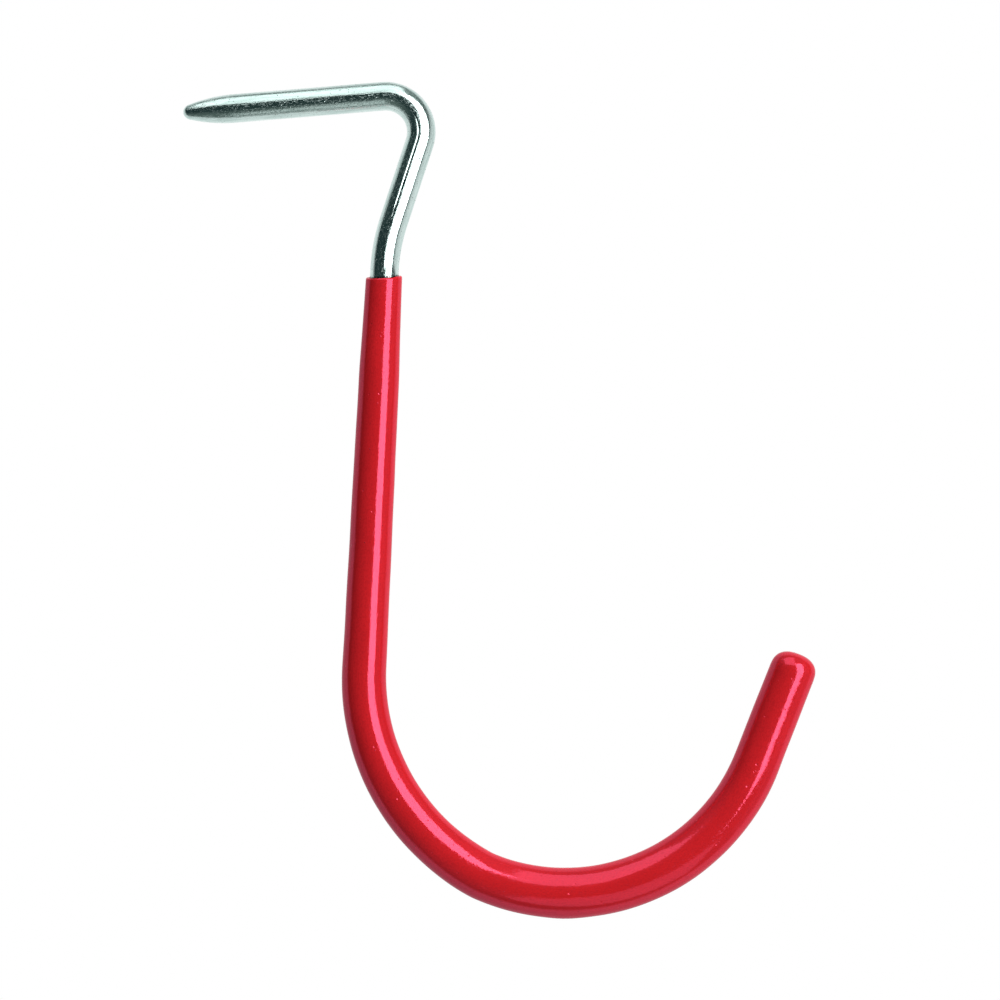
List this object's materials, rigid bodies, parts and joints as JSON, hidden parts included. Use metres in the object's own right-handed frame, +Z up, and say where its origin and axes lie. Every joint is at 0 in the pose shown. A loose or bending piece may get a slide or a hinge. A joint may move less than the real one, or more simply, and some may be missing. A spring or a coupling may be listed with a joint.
{
  "type": "utility hook",
  "caption": "Bent steel rod utility hook with a drive-in point, an offset shank and a wide open bowl dipped in thick red vinyl.",
  "frame": {"origin": "where the axis of the spike enters the face of the wall", "axes": "+X out of the wall into the room, +Z up, +Y square to the plane in which the rod is bent"},
  "size_m": [0.1404, 0.0112, 0.1859],
  "materials": {
    "zinc_steel": "bright zinc plate over cold drawn rod",
    "red_vinyl": "glossy dipped vinyl, thickest where it gathered at the bottom"
  },
  "bodies": {
    "root": {"steel_rod": "zinc_steel", "vinyl_coat": "red_vinyl"}
  },
  "joints": []
}
